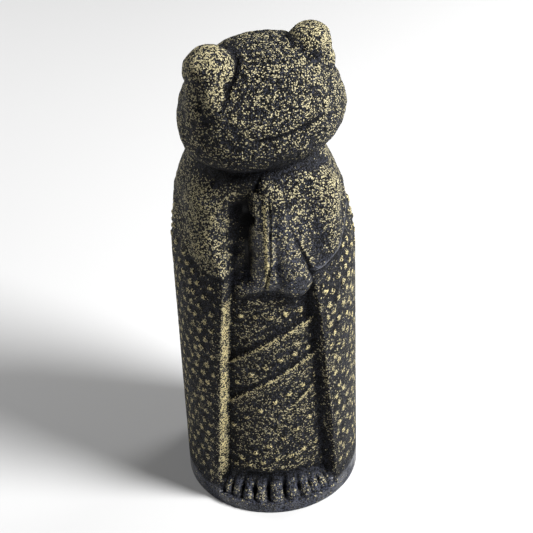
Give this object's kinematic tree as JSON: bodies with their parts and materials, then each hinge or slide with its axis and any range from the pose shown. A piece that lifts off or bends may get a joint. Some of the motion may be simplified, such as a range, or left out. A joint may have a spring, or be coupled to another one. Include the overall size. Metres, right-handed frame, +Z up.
{
  "type": "frog statue",
  "caption": "Praying frog monk cast in dark stone: a round robed column with open sleeves, pressed palms and a broad tilted head, standing on its flat underside.",
  "frame": {"origin": "middle of the flat underside, where the statue stands", "axes": "+Z up, front towards -Y, +X to the right of someone who faces the statue"},
  "size_m": [0.106, 0.106, 0.3049],
  "materials": {
    "cast_stone": "near-black blue cast stone with a sandy grain, the raised grains, dots and fold edges rubbed with dull gold"
  },
  "bodies": {
    "root": {"frog_statue": "cast_stone"}
  },
  "joints": []
}
